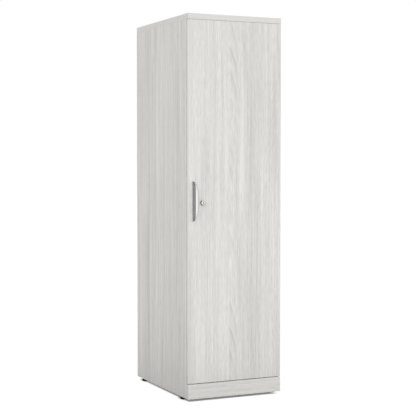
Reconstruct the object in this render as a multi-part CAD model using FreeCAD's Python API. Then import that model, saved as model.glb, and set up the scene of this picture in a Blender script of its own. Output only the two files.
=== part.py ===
import FreeCAD
import Part
import math
import os

# Single-door laminate wardrobe, in millimetres.
# +Z is up, +X is to the right, and the front faces -Y.
# The origin is on the floor, below the middle of the whole outline.

# Overall
width = 457.0
depth = 610.0
body_height = 1684.4
foot_height = 12.0

# Panels
panel_thickness = 19.0
top_thickness = 25.0
door_thickness = 19.0
edge_band_thickness = 1.0
edge_radius = 0.8
back_thickness = 6.0
back_inset = 10.0
groove_depth = 8.0

# Door gaps and plinth
door_back_gap = 3.5
door_side_reveal = 1.0
door_top_gap = 1.0
door_bottom_gap = 3.5
plinth_height = 65.8
plinth_setback = 1.0
bottom_rise = 11.0
closing_lip = 2.0

# Hat shelf and coat rod
shelf_drop = 300.0
shelf_setback = 30.0
shelf_pin_radius = 2.5
shelf_pin_embed = 9.0
shelf_pin_reach = 9.0
shelf_pin_chamfer = 0.6
shelf_pin_inset = 60.0
rod_drop = 62.0
rod_radius = 12.5
rod_wall = 1.5
rod_clearance = 0.3
socket_flange_radius = 29.0
socket_flange = 3.0
socket_ring_wall = 3.0
socket_ring_depth = 15.0
socket_screw_pitch = 22.0

# Concealed hinges
hinge_count = 4
hinge_end_inset = 100.0
hinge_axis_depth = 9.5
hinge_swing_clearance = 0.35
hinge_pin_radius = 1.5
hinge_pin_clearance = 0.05
hinge_eye_radius = 3.0
hinge_arm_width = 13.0
hinge_arm_thickness = 2.4
hinge_cheek = 1.2
hinge_cheek_height = 3.0
hinge_cheek_slope = 6.0
hinge_lug_clearance = 0.3
hinge_floor_clearance = 0.3
cup_radius = 17.5
cup_wall = 1.0
cup_edge_distance = 2.5
cup_flange = 0.8
cup_flange_lip = 2.0
cup_screw_pitch = 48.0
cup_ear_radius = 6.0
cup_ear_offset = 4.0
plate_thickness = 3.5
plate_length = 44.0
plate_body_width = 18.0
plate_setback = 18.0
plate_wing = 14.0
plate_wing_thickness = 2.0
plate_screw_pitch = 32.0
plate_screw_share = 2 / 3
arm_screw_share = 1 / 3

# Cup pull
pull_edge_distance = 20.0
pull_height = 881.0
pull_length = 176.0
pull_projection = 28.0
pull_reach = 28.7
pull_lip_setback = 5.7
pull_wall = 2.2
pull_plate = 1.5
pull_arch_power = 4.0
pull_plan_power = 2.2
pull_curve_steps = 6
pull_half_stations = 8
pull_end_share = 0.999
pull_lip_limit = 0.6
pull_screw_pitch = 128.0
pull_boss_radius = 4.5
pull_boss_gap = 1.8
pull_screw_radius = 2.0
pull_screw_grip = 9.0
pull_screw_head_radius = 4.0
pull_screw_head = 2.4

# Cam lock
lock_edge_distance = 69.4
lock_height = 874.4
lock_bezel_radius = 11.0
lock_bezel = 7.0
lock_bezel_rim = 1.0
lock_barrel_radius = 8.0
lock_barrel_overrun = 7.0
lock_nut_flats = 22.0
lock_nut = 4.0
lock_plug_radius = 5.5
lock_plug_clearance = 0.05
lock_collar_radius = 7.4
lock_collar = 1.6
lock_face_recess = 1.2
key_slot_width = 2.4
key_slot_length = 9.0
key_slot_depth = 12.0
lock_drive = 7.0
cam_gap = 0.3
cam_thickness = 2.2
cam_length = 46.0
cam_hub_radius = 9.0
cam_tip_radius = 6.0
cam_drive_clearance = 0.1
cam_screw_radius = 1.9
cam_screw_head_radius = 4.6
cam_screw_head = 2.2
cam_screw_grip = 8.0
strike_thickness = 1.5
strike_cam_gap = 0.8
strike_reach = 14.0
strike_leaf = 26.0
strike_height = 44.0
strike_screw_share = 0.6
strike_screw_pitch = 28.0

# Levelling feet
foot_inset = 65.0
pad_radius = 12.0
pad_rim = 8.0
pad_cone = 2.0
pad_chamfer = 0.8
pad_neck_radius = 9.5
stem_radius = 3.0
stem_length = 34.0
stem_clearance = 0.1
insert_radius = 5.5
insert_length = 20.0
insert_flange_radius = 6.8
insert_flange = 1.0
stem_hole_spare = 6.0

# Small fixings
dowel_radius = 4.0
dowel_length = 30.0
dowel_side_embed = 12.0
dowel_clearance = 0.1
hole_end_spare = 1.0
dowel_front_inset = 60.0
dowel_back_inset = 90.0
plinth_dowel_rise = 16.0
screw_radius = 1.75
screw_length = 13.0
screw_head_radius = 3.4
screw_head = 2.0
screw_clearance = 0.1
bumper_radius = 4.0
bumper_squash = 0.3
bumper_inset = 70.0

# Places that follow from the sizes above
y_front = pull_projection / 2 - depth / 2
y_back = y_front + depth
x_out = width / 2
x_in = x_out - panel_thickness
z_under = foot_height
z_top = z_under + body_height
z_slab = z_top - top_thickness
y_door_back = y_front + door_thickness
y_case = y_door_back + door_back_gap
y_back_panel = y_back - back_inset - back_thickness
z_plinth = z_under + plinth_height
z_bottom = z_plinth + bottom_rise
x_door = x_out - door_side_reveal
z_door_low = z_plinth + door_bottom_gap
z_door_high = z_slab - door_top_gap
z_shelf = z_slab - shelf_drop
y_shelf = y_case + shelf_setback
y_rod = (y_case + y_back_panel) / 2
z_rod = z_shelf - panel_thickness - rod_drop
swing_radius = hinge_axis_depth + door_back_gap - hinge_swing_clearance
x_axis = x_door - math.sqrt(swing_radius ** 2 - hinge_axis_depth ** 2)
y_axis = y_door_back - hinge_axis_depth
x_cup = x_door - cup_edge_distance - cup_radius
cup_depth = hinge_axis_depth + hinge_eye_radius + hinge_floor_clearance + cup_wall
x_arm = x_in - plate_thickness
y_plate = y_case + plate_setback
arm_screw_length = hinge_arm_thickness + plate_thickness - screw_clearance
x_pull = -x_out + pull_edge_distance
x_lock = -x_out + lock_edge_distance
y_barrel = y_door_back + lock_barrel_overrun
y_cam = y_barrel + cam_gap
y_strike = y_cam - strike_cam_gap - strike_thickness
hinge_step = (z_door_high - z_door_low - 2 * hinge_end_inset) / (hinge_count - 1)
hinge_heights = [z_door_low + hinge_end_inset + i * hinge_step for i in range(hinge_count)]
foot_places = {
    "front_left": (-x_out + pad_radius, y_case + foot_inset),
    "front_right": (x_out - pad_radius, y_case + foot_inset),
    "back_left": (-x_out + pad_radius, y_back - foot_inset),
    "back_right": (x_out - pad_radius, y_back - foot_inset),
}

X = FreeCAD.Vector(1, 0, 0)
Y = FreeCAD.Vector(0, 1, 0)
Z = FreeCAD.Vector(0, 0, 1)


def vec(x, y, z):
    return FreeCAD.Vector(x, y, z)


def block(x0, x1, y0, y1, z0, z1):
    return Part.makeBox(x1 - x0, y1 - y0, z1 - z0, vec(x0, y0, z0))


def rod(radius, length, x, y, z, axis):
    return Part.makeCylinder(radius, length, vec(x, y, z), axis)


def polygon(points):
    return Part.makePolygon(points + [points[0]])


def prism(points, direction):
    return Part.Face(polygon(points)).extrude(direction)


def turned(profile, place, axis):
    # A profile of (radius, distance along the axis) pairs spun about Z and set on an axis.
    points = [vec(r, 0, t) for r, t in profile]
    solid = Part.Face(polygon(points)).revolve(vec(0, 0, 0), Z, 360)
    solid.Placement = FreeCAD.Placement(place, FreeCAD.Rotation(Z, axis))
    return solid


def straight_edges(shape, direction, longer_than):
    found = []
    for edge in shape.Edges:
        if edge.Length < longer_than or not isinstance(edge.Curve, Part.Line):
            continue
        along = edge.Curve.Direction
        if abs(abs(along.dot(direction)) - 1) < 1e-6:
            found.append(edge)
    return found


def eased(shape, radius):
    return shape.makeFillet(radius, shape.Edges)


def wood_screw(place, axis, length=screw_length):
    # Countersunk head at the place, shank running along the axis.
    profile = [
        (0, 0),
        (screw_head_radius, 0),
        (screw_radius, screw_head),
        (screw_radius, length - screw_radius),
        (0, length),
    ]
    return turned(profile, place, axis)


def wood_screw_hole(place, axis, length=screw_length):
    c = screw_clearance
    profile = [
        (0, -screw_head),
        (screw_head_radius + c, -screw_head),
        (screw_head_radius + c, 0),
        (screw_radius + c, screw_head),
        (screw_radius + c, length + c),
        (0, length + c),
    ]
    return turned(profile, place, axis)


def cut_all(shape, tools):
    return shape.cut(tools) if tools else shape


# Dowels of the case

def dowel_places():
    low = z_under + plinth_dowel_rise
    high = z_plinth - plinth_dowel_rise
    y_pair = (y_case + dowel_front_inset, y_back - dowel_back_inset)
    half = dowel_length / 2
    places = []
    for side in (-1, 1):
        x_mid = side * (x_in + panel_thickness / 2)
        for y in y_pair:
            places.append((vec(x_mid, y, z_slab - half), Z))
            start = side * (x_in + dowel_side_embed)
            places.append((vec(start, y, z_bottom - panel_thickness / 2), X * -side))
        for z in (low, high):
            places.append((vec(x_mid, y_case - half, z), Y))
    return places


def case_dowels():
    return Part.makeCompound([
        Part.makeCylinder(dowel_radius, dowel_length, place, axis) for place, axis in dowel_places()
    ])


def dowel_holes():
    r = dowel_radius + dowel_clearance
    length = dowel_length + 2 * hole_end_spare
    return [
        Part.makeCylinder(r, length, place - axis * hole_end_spare, axis)
        for place, axis in dowel_places()
    ]


# Carcass panels

def side_panel(side):
    panel = block(x_in, x_out, y_case + edge_band_thickness, y_back, z_under, z_slab)
    groove = block(x_in, x_in + groove_depth, y_back_panel, y_back_panel + back_thickness, z_under, z_slab)
    panel = panel.cut(groove)
    if side < 0:
        panel = panel.mirror(vec(0, 0, 0), X)
    tools = dowel_holes()
    for x, y in foot_places.values():
        tools.append(foot_hole(x, y))
    tools += [shelf_pin_hole(place, axis) for place, axis in shelf_pin_places()]
    tools += [wood_screw_hole(place, axis) for place, axis in socket_screw_places()]
    if side > 0:
        tools += [wood_screw_hole(place, X) for place in plate_screw_places()]
    else:
        tools += [wood_screw_hole(place, -X) for place in strike_screw_places()]
    return cut_all(panel, tools)


def foot_hole(x, y):
    deep = stem_length + pad_rim + pad_cone - foot_height + stem_hole_spare
    hole = rod(stem_radius + stem_clearance, deep, x, y, z_under, Z)
    seat = rod(insert_radius, insert_length, x, y, z_under, Z)
    flange = rod(insert_flange_radius, insert_flange, x, y, z_under, Z)
    return hole.fuse([seat, flange])


def ringed_panel(x0, x1, y0, y1, z0, z1, thin):
    # A core and the band round its four edges; thin names the axis across the panel.
    b = edge_band_thickness
    whole = eased(block(x0, x1, y0, y1, z0, z1), edge_radius)
    if thin == "z":
        core = block(x0 + b, x1 - b, y0 + b, y1 - b, z0, z1)
    else:
        core = block(x0 + b, x1 - b, y0, y1, z0 + b, z1 - b)
    return core, whole.cut(core)


def top_panels():
    core, band = ringed_panel(-x_out, x_out, y_front, y_back, z_slab, z_top, "z")
    reach = x_in + groove_depth
    groove = block(-reach, reach, y_back_panel, y_back_panel + back_thickness,
                   z_slab, z_slab + groove_depth)
    return cut_all(core, [groove] + dowel_holes()), band


def bottom_panel():
    y = y_case + edge_band_thickness
    panel = block(-x_in, x_in, y, y_back_panel, z_bottom - panel_thickness, z_bottom)
    return cut_all(panel, dowel_holes())


def case_edge_bands():
    # Strips on the front edges of the sides, the bottom and the hat shelf; the left one is a closing lip.
    b = edge_band_thickness
    lip = block(-x_out, -x_in, y_case - closing_lip, y_case, z_plinth, z_slab)
    strips = [
        block(-x_in, x_in, y_case, y_case + b, z_bottom - panel_thickness, z_bottom),
        block(-x_in, x_in, y_shelf, y_shelf + b, z_shelf - panel_thickness, z_shelf),
        block(x_in, x_out, y_case, y_case + b, z_under, z_slab),
        block(-x_out, -x_in, y_case, y_case + b, z_under, z_slab).fuse(lip).removeSplitter(),
    ]
    bands = []
    for strip in strips:
        front = strip.BoundBox.YMin
        arrises = [
            edge for edge in straight_edges(strip, X, width / 2) + straight_edges(strip, Z, width / 2)
            if edge.CenterOfMass.y < front + b / 2
        ]
        bands.append(cut_all(strip.makeFillet(edge_radius, arrises), dowel_holes()))
    return Part.makeCompound(bands)


def back_panel():
    reach = x_in + groove_depth
    return block(-reach, reach, y_back_panel, y_back_panel + back_thickness,
                 z_bottom - panel_thickness, z_slab + groove_depth)


def toe_kick():
    board = eased(block(-x_out, x_out, y_front + plinth_setback, y_case, z_under, z_plinth), edge_radius)
    return cut_all(board, dowel_holes())


def hat_shelf():
    return block(-x_in, x_in, y_shelf + edge_band_thickness, y_back_panel, z_shelf - panel_thickness, z_shelf)


def shelf_pin_places():
    z = z_shelf - panel_thickness - shelf_pin_radius
    places = []
    for side in (-1, 1):
        for y in (y_shelf + shelf_pin_inset, y_back_panel - shelf_pin_inset):
            places.append((vec(side * (x_in + shelf_pin_embed), y, z), X * -side))
    return places


def shelf_pins():
    reach = shelf_pin_embed + shelf_pin_reach
    pins = []
    for place, axis in shelf_pin_places():
        pin = Part.makeCylinder(shelf_pin_radius, reach, place, axis)
        pins.append(pin.makeChamfer(shelf_pin_chamfer, [edge for edge in pin.Edges if edge.Closed]))
    return Part.makeCompound(pins)


def shelf_pin_hole(place, axis):
    start = place - axis * hole_end_spare
    reach = shelf_pin_embed + hole_end_spare
    return Part.makeCylinder(shelf_pin_radius + dowel_clearance, reach, start, axis)


# Coat rod

def coat_rod():
    reach = x_in - socket_flange
    outer = rod(rod_radius, 2 * reach, -reach, y_rod, z_rod, X)
    return outer.cut(rod(rod_radius - rod_wall, 2 * reach, -reach, y_rod, z_rod, X))


def rod_socket(side):
    bore = rod_radius + rod_clearance
    ring = bore + socket_ring_wall
    ease = socket_flange / 2
    profile = [
        (0, 0),
        (socket_flange_radius, 0),
        (socket_flange_radius, socket_flange - ease),
        (socket_flange_radius - ease, socket_flange),
        (ring + ease, socket_flange),
        (ring, socket_flange + ease),
        (ring, socket_ring_depth - ease),
        (ring - ease, socket_ring_depth),
        (bore, socket_ring_depth),
        (bore, socket_flange),
        (0, socket_flange),
    ]
    socket = turned(profile, vec(side * x_in, y_rod, z_rod), X * -side)
    tools = [
        wood_screw_hole(place, axis)
        for place, axis in socket_screw_places() if place.x * side > 0
    ]
    return cut_all(socket, tools)


def socket_screw_places():
    places = []
    for side in (-1, 1):
        for end in (-1, 1):
            place = vec(side * (x_in - socket_flange), y_rod + end * socket_screw_pitch, z_rod)
            places.append((place, X * side))
    return places


# Concealed hinges

def cup_screw_places():
    places = []
    for z in hinge_heights:
        for end in (-1, 1):
            z_screw = z + end * cup_screw_pitch / 2
            places.append(vec(x_cup - cup_ear_offset, y_door_back + cup_flange, z_screw))
    return places


def hinge_cup(z):
    deep = rod(cup_radius, cup_depth, x_cup, y_door_back, z, -Y)
    lip = rod(cup_radius + cup_flange_lip, cup_flange, x_cup, y_door_back, z, Y)
    x_ear = x_cup - cup_ear_offset
    half = cup_screw_pitch / 2
    ears = block(x_ear - cup_ear_radius, x_ear + cup_ear_radius,
                 y_door_back, y_door_back + cup_flange, z - half, z + half)
    flange = lip.fuse([ears] + [
        rod(cup_ear_radius, cup_flange, x_ear, y_door_back, z + end * half, Y) for end in (-1, 1)
    ])
    x_trim = x_cup + cup_radius
    flange = flange.cut(block(x_trim, x_trim + 2 * cup_radius, y_door_back, y_door_back + cup_flange,
                              z - 2 * cup_radius, z + 2 * cup_radius))
    deepest = cup_depth - cup_wall + cup_flange
    hollow = rod(cup_radius - cup_wall, deepest, x_cup, y_door_back + cup_flange, z, -Y)
    cup = deep.fuse(flange).cut(hollow)
    near = hinge_arm_width / 2 + hinge_lug_clearance
    for end in (-1, 1):
        z0, z1 = sorted((z + end * near, z + end * cup_radius))
        lug = block(x_axis - hinge_eye_radius, x_axis + hinge_eye_radius,
                    y_door_back - cup_depth, y_axis + hinge_eye_radius, z0, z1)
        cup = cup.fuse(lug.common(deep))
    cup = cup.removeSplitter()
    reach = pin_reach()
    tools = [rod(hinge_pin_radius, 2 * reach, x_axis, y_axis, z - reach, Z)]
    for place in cup_screw_places():
        if abs(place.z - z) < cup_screw_pitch:
            tools.append(wood_screw_hole(place, -Y))
    return cut_all(cup, tools)


def pin_reach():
    # The pin ends inside the cup's wall, at the wall's least height beside the pin.
    across = x_axis + hinge_pin_radius - x_cup
    return math.sqrt((cup_radius - cup_wall / 2) ** 2 - across ** 2)


def hinge_pins():
    reach = pin_reach()
    return Part.makeCompound([
        rod(hinge_pin_radius, 2 * reach, x_axis, y_axis, z - reach, Z) for z in hinge_heights
    ])


def hinge_arm(z):
    # A strap rolled into an eye at the pin, bent up out of the cup and laid on the mounting plate.
    t = hinge_arm_thickness
    y_low = y_axis - hinge_eye_radius
    y_tail = y_plate + plate_length
    z0 = z - hinge_arm_width / 2
    base = prism([
        vec(x_axis, y_low, z0),
        vec(x_axis, y_low + t, z0),
        vec(x_arm, y_low + t, z0),
        vec(x_arm, y_tail, z0),
        vec(x_arm - t, y_tail, z0),
        vec(x_arm - t, y_low, z0),
    ], Z * hinge_arm_width)
    bend = [
        edge for edge in straight_edges(base, Z, hinge_arm_width / 2)
        if abs(edge.CenterOfMass.x - (x_arm - t)) < 0.01 and abs(edge.CenterOfMass.y - y_low) < 0.01
    ]
    strap = base.makeFillet(t, bend)
    tail = [edge for edge in straight_edges(strap, X, t / 2) if abs(edge.CenterOfMass.y - y_tail) < 0.01]
    strap = strap.makeFillet(hinge_arm_width / 3, tail)
    eye = rod(hinge_eye_radius, hinge_arm_width, x_axis, y_axis, z0, Z)
    arm = strap.fuse([eye] + hinge_cheeks(z0, y_tail)).removeSplitter()
    bore = rod(hinge_pin_radius + hinge_pin_clearance, hinge_arm_width, x_axis, y_axis, z0, Z)
    return arm.cut([bore, wood_screw_hole(arm_screw_place(z), X, arm_screw_length)])


def hinge_cheeks(z0, y_tail):
    # The strap's edges turned up into two stiffening walls beside the arm screw.
    x0 = x_arm - hinge_arm_thickness
    x1 = x0 - hinge_cheek_height
    outline = [
        (x0, y_plate - hinge_cheek_slope),
        (x1, y_plate),
        (x1, y_tail - 2 * hinge_cheek_slope),
        (x0, y_tail - hinge_cheek_slope),
    ]
    walls = []
    for z in (z0, z0 + hinge_arm_width - hinge_cheek):
        walls.append(prism([vec(x, y, z) for x, y in outline], Z * hinge_cheek))
    return walls


def arm_screw_place(z):
    return vec(x_arm - hinge_arm_thickness, y_plate + plate_length * arm_screw_share, z)


def plate_screw_places():
    y = y_plate + plate_length * plate_screw_share
    x = x_in - plate_wing_thickness
    return [vec(x, y, z + end * plate_screw_pitch / 2) for z in hinge_heights for end in (-1, 1)]


def hinge_plate(z):
    y_end = y_plate + plate_length
    half = plate_body_width / 2
    body = block(x_arm, x_in, y_plate, y_end, z - half, z + half)
    body = body.makeFillet(plate_thickness, straight_edges(body, X, plate_thickness / 2))
    y_wing = y_plate + plate_length * plate_screw_share
    reach = plate_screw_pitch / 2
    wing = block(x_in - plate_wing_thickness, x_in, y_wing - plate_wing / 2, y_wing + plate_wing / 2,
                 z - reach, z + reach)
    wing = wing.fuse([
        rod(plate_wing / 2, plate_wing_thickness, x_in, y_wing, z + end * reach, -X) for end in (-1, 1)
    ])
    plate = body.fuse(wing).removeSplitter()
    tools = [wood_screw_hole(arm_screw_place(z), X, arm_screw_length)]
    for place in plate_screw_places():
        if abs(place.z - z) < plate_screw_pitch:
            tools.append(wood_screw_hole(place, X))
    return cut_all(plate, tools)


def hinge_screws():
    arms = [wood_screw(arm_screw_place(z), X, arm_screw_length) for z in hinge_heights]
    return Part.makeCompound(arms + [wood_screw(place, X) for place in plate_screw_places()])


def hinge_cup_screws():
    return Part.makeCompound([wood_screw(place, -Y) for place in cup_screw_places()])


# Door

def door_panels():
    core, band = ringed_panel(-x_door, x_door, y_front, y_door_back, z_door_low, z_door_high, "y")
    tools = [rod(cup_radius, cup_depth, x_cup, y_door_back, z, -Y) for z in hinge_heights]
    tools += [wood_screw_hole(place, -Y) for place in cup_screw_places()]
    tools.append(rod(lock_barrel_radius + dowel_clearance, door_thickness, x_lock, y_front, lock_height, Y))
    for place in pull_screw_places():
        tools.append(Part.makeCylinder(pull_screw_radius + screw_clearance, door_thickness, place, -Y))
        head = pull_screw_head_radius + screw_clearance
        tools.append(Part.makeCylinder(head, pull_screw_head, place, -Y))
    return cut_all(core, tools), band


# Cup pull

def rounded(share, power):
    return (1 - abs(share) ** power) ** (1 / power)


def pull_curve(z, reach, rise, lip):
    # Quarter oval from the foot of the shell on the door to its lip.
    points = []
    for i in range(pull_curve_steps + 1):
        turn = math.pi / 2 * i / pull_curve_steps
        across = lip + (reach - lip) * math.cos(turn)
        points.append(vec(x_pull + across, y_front - rise * math.sin(turn), z))
    curve = Part.BSplineCurve()
    curve.interpolate(points)
    return curve.toShape()


def pull_stations(half):
    n = pull_half_stations
    return [math.sin(math.pi / 2 * i / n) * pull_end_share * half for i in range(-n, n + 1)]


def pull_body(shrink):
    # Loft of quarter ovals along the height; shrink draws every face inwards by that much.
    half = pull_length / 2 - shrink
    sections = []
    for s in pull_stations(half):
        rise = (pull_projection - shrink) * rounded(s / half, pull_arch_power)
        reach = (pull_reach - shrink) * rounded(s / half, pull_plan_power)
        lip = min(pull_lip_setback * rise / pull_projection, pull_lip_limit * reach)
        z = pull_height + s
        arc = pull_curve(z, reach, rise, lip)
        foot = vec(x_pull + reach, y_front, z)
        tip = vec(x_pull + lip, y_front - rise, z)
        heel = vec(x_pull, y_front, z)
        edges = [arc]
        if shrink:
            out = vec(x_pull - pull_reach, y_front - rise, z)
            under = vec(x_pull - pull_reach, y_front + pull_wall, z)
            sole = vec(x_pull + reach, y_front + pull_wall, z)
            loop = [tip, out, under, sole, foot]
        else:
            loop = [tip, heel, foot]
        edges += [Part.makeLine(a, b) for a, b in zip(loop, loop[1:])]
        sections.append(Part.Wire(edges))
    return Part.makeLoft(sections, True, False)


def pull_boss_offset():
    # Each boss keeps its gap from the cup's wall at the end of the boss that lies nearest to it.
    half = pull_length / 2 - pull_wall
    end = pull_screw_pitch / 2 + pull_boss_radius
    wall = (pull_reach - pull_wall) * rounded(end / half, pull_plan_power)
    return wall - pull_boss_gap - pull_boss_radius


def pull():
    outer = pull_body(0)
    plate = block(x_pull - 2 * pull_reach, x_pull + pull_reach, y_front - pull_plate, y_front + 2 * pull_wall,
                  pull_height - pull_length / 2, pull_height + pull_length / 2)
    shell = outer.cut(pull_body(pull_wall).cut(plate))
    for end in (-1, 1):
        z = pull_height + end * pull_screw_pitch / 2
        boss = rod(pull_boss_radius, pull_projection, x_pull + pull_boss_offset(), y_front, z, -Y)
        shell = shell.fuse(boss.common(outer))
    deep = door_thickness + pull_screw_grip + hole_end_spare
    tools = [
        Part.makeCylinder(pull_screw_radius + stem_clearance, deep, place, -Y)
        for place in pull_screw_places()
    ]
    return cut_all(shell, tools)


def pull_screw_places():
    return [
        vec(x_pull + pull_boss_offset(), y_door_back, pull_height + end * pull_screw_pitch / 2)
        for end in (-1, 1)
    ]


def pull_screws():
    reach = door_thickness + pull_screw_grip
    profile = [
        (0, 0),
        (pull_screw_head_radius, 0),
        (pull_screw_head_radius, pull_screw_head),
        (pull_screw_radius, pull_screw_head),
        (pull_screw_radius, reach),
        (0, reach),
    ]
    return Part.makeCompound([turned(profile, place, -Y) for place in pull_screw_places()])


# Cam lock

def lock_housing():
    bore = lock_plug_radius + lock_plug_clearance
    seat = lock_collar_radius + lock_plug_clearance
    through = y_barrel - y_front
    face = -lock_bezel
    profile = [
        (bore, through),
        (bore, face + lock_face_recess + lock_collar),
        (seat, face + lock_face_recess + lock_collar),
        (seat, face),
        (lock_bezel_radius - lock_bezel_rim, face),
        (lock_bezel_radius, face + lock_bezel_rim),
        (lock_bezel_radius, 0),
        (lock_barrel_radius, 0),
        (lock_barrel_radius, through),
    ]
    return turned(profile, vec(x_lock, y_front, lock_height), Y)


def lock_nut_piece():
    across = lock_nut_flats / math.sqrt(3)
    points = []
    for i in range(6):
        turn = math.pi / 3 * i
        x = x_lock + across * math.cos(turn)
        points.append(vec(x, y_door_back, lock_height + across * math.sin(turn)))
    nut = prism(points, Y * lock_nut)
    return nut.cut(rod(lock_barrel_radius + stem_clearance, lock_nut, x_lock, y_door_back, lock_height, Y))


def lock_plug():
    face = y_front - lock_bezel + lock_face_recess
    y_end = y_cam + cam_thickness
    core = rod(lock_plug_radius, y_cam - face, x_lock, face, lock_height, Y)
    collar = rod(lock_collar_radius, lock_collar - lock_plug_clearance, x_lock, face, lock_height, Y)
    half = lock_drive / 2
    tail = block(x_lock - half, x_lock + half, y_cam, y_end, lock_height - half, lock_height + half)
    slot = block(x_lock - key_slot_width / 2, x_lock + key_slot_width / 2, face, face + key_slot_depth,
                 lock_height - key_slot_length / 2, lock_height + key_slot_length / 2)
    deep = cam_screw_grip + hole_end_spare
    grip = rod(cam_screw_radius + stem_clearance, deep, x_lock, y_end, lock_height, -Y)
    return core.fuse([collar, tail]).removeSplitter().cut([slot, grip])


def lock_cam():
    # A lever that hangs straight down when the door is unlocked.
    z_tip = lock_height - cam_length + cam_tip_radius
    hub = rod(cam_hub_radius, cam_thickness, x_lock, y_cam, lock_height, Y)
    tip = rod(cam_tip_radius, cam_thickness, x_lock, y_cam, z_tip, Y)
    run = lock_height - z_tip
    lean = (cam_hub_radius - cam_tip_radius) / run
    side = math.sqrt(1 - lean ** 2)
    points = []
    for sign in (1, -1):
        ends = [(cam_hub_radius, lock_height), (cam_tip_radius, z_tip)]
        for radius, z in ends[::sign]:
            points.append(vec(x_lock + sign * radius * side, y_cam, z - radius * lean))
    lever = prism(points, Y * cam_thickness)
    half = lock_drive / 2 + cam_drive_clearance
    drive = block(x_lock - half, x_lock + half, y_cam, y_cam + cam_thickness,
                  lock_height - half, lock_height + half)
    return hub.fuse([tip, lever]).removeSplitter().cut(drive)


def cam_screw():
    y_end = y_cam + cam_thickness
    profile = [
        (0, -cam_screw_head),
        (cam_screw_head_radius - cam_screw_head / 2, -cam_screw_head),
        (cam_screw_head_radius, -cam_screw_head / 2),
        (cam_screw_head_radius, 0),
        (cam_screw_radius, 0),
        (cam_screw_radius, cam_screw_grip),
        (0, cam_screw_grip),
    ]
    return turned(profile, vec(x_lock, y_end, lock_height), -Y)


def strike_screw_places():
    y = y_strike + strike_leaf * strike_screw_share
    x = -x_in + strike_thickness
    return [vec(x, y, lock_height + end * strike_screw_pitch / 2) for end in (-1, 1)]


def lock_strike():
    # An angle plate on the left side: its short leg stands in front of the cam when locked.
    t = strike_thickness
    z0 = lock_height - strike_height / 2
    plate = prism([
        vec(-x_in, y_strike, z0),
        vec(-x_in + strike_reach, y_strike, z0),
        vec(-x_in + strike_reach, y_strike + t, z0),
        vec(-x_in + t, y_strike + t, z0),
        vec(-x_in + t, y_strike + strike_leaf, z0),
        vec(-x_in, y_strike + strike_leaf, z0),
    ], Z * strike_height)
    corners = [
        edge for edge in straight_edges(plate, X, t / 2) + straight_edges(plate, Y, t / 2)
        if edge.Length < 1.5 * t
    ]
    plate = plate.makeFillet(2 * t, corners)
    return cut_all(plate, [wood_screw_hole(place, -X) for place in strike_screw_places()])


def strike_screws():
    return Part.makeCompound([wood_screw(place, -X) for place in strike_screw_places()])


def socket_screws():
    return Part.makeCompound([wood_screw(place, axis) for place, axis in socket_screw_places()])


# Bumpers and feet

def door_bumpers():
    x = -x_in - panel_thickness / 2
    y_lip = y_case - closing_lip
    thick = door_back_gap - closing_lip - bumper_squash
    pads = []
    for z in (z_door_low + bumper_inset, z_door_high - bumper_inset):
        pad = rod(bumper_radius, thick, x, y_lip, z, -Y)
        front = [edge for edge in pad.Edges if edge.Closed and edge.CenterOfMass.y < y_lip - thick / 2]
        pads.append(pad.makeFillet(thick / 3, front))
    return Part.makeCompound(pads)


def foot_pad(x, y):
    profile = [
        (0, 0),
        (pad_radius - pad_chamfer, 0),
        (pad_radius, pad_chamfer),
        (pad_radius, pad_rim),
        (pad_neck_radius, pad_rim + pad_cone),
        (0, pad_rim + pad_cone),
    ]
    return turned(profile, vec(x, y, 0), Z)


def foot_stem(x, y):
    z = pad_rim + pad_cone
    stem = rod(stem_radius, stem_length, x, y, z, Z)
    top = [edge for edge in stem.Edges if edge.Closed and edge.CenterOfMass.z > z + stem_length / 2]
    return stem.makeChamfer(stem_radius / 4, top)


def foot_inserts():
    pieces = []
    for x, y in foot_places.values():
        body = rod(insert_radius, insert_length, x, y, z_under, Z)
        flange = rod(insert_flange_radius, insert_flange, x, y, z_under, Z)
        bore = rod(stem_radius + stem_clearance, insert_length, x, y, z_under, Z)
        pieces.append(body.fuse(flange).removeSplitter().cut(bore))
    return Part.makeCompound(pieces)


def all_parts():
    top, top_band = top_panels()
    door, door_band = door_panels()
    parts = {
        "left_side_panel": side_panel(-1),
        "right_side_panel": side_panel(1),
        "top_panel": top,
        "top_edge_band": top_band,
        "bottom_panel": bottom_panel(),
        "back_panel": back_panel(),
        "toe_kick": toe_kick(),
        "case_edge_bands": case_edge_bands(),
        "case_dowels": case_dowels(),
        "hat_shelf": hat_shelf(),
        "shelf_pins": shelf_pins(),
        "coat_rod": coat_rod(),
        "rod_socket_left": rod_socket(-1),
        "rod_socket_right": rod_socket(1),
        "rod_socket_screws": socket_screws(),
        "door_panel": door,
        "door_edge_band": door_band,
        "door_bumpers": door_bumpers(),
        "pull": pull(),
        "pull_screws": pull_screws(),
        "lock_housing": lock_housing(),
        "lock_nut": lock_nut_piece(),
        "lock_plug": lock_plug(),
        "lock_cam": lock_cam(),
        "lock_cam_screw": cam_screw(),
        "lock_strike": lock_strike(),
        "lock_strike_screws": strike_screws(),
        "hinge_pins": hinge_pins(),
        "hinge_screws": hinge_screws(),
        "hinge_cup_screws": hinge_cup_screws(),
        "foot_inserts": foot_inserts(),
    }
    for i, z in enumerate(hinge_heights, 1):
        parts[f"hinge_cup_{i}"] = hinge_cup(z)
        parts[f"hinge_arm_{i}"] = hinge_arm(z)
        parts[f"hinge_plate_{i}"] = hinge_plate(z)
    for name, (x, y) in foot_places.items():
        parts[f"foot_pad_{name}"] = foot_pad(x, y)
        parts[f"foot_stem_{name}"] = foot_stem(x, y)
    return parts


def main():
    os.makedirs("parts", exist_ok=True)
    for name, shape in all_parts().items():
        box = shape.BoundBox
        print(f"{name}: {len(shape.Solids)} solid(s), valid {shape.isValid()}, "
              f"volume {shape.Volume:.1f}, box {box.XMin:.2f} {box.YMin:.2f} {box.ZMin:.2f} "
              f"{box.XMax:.2f} {box.YMax:.2f} {box.ZMax:.2f}")
        shape.exportStep(f"parts/{name}.step")


main()
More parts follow.
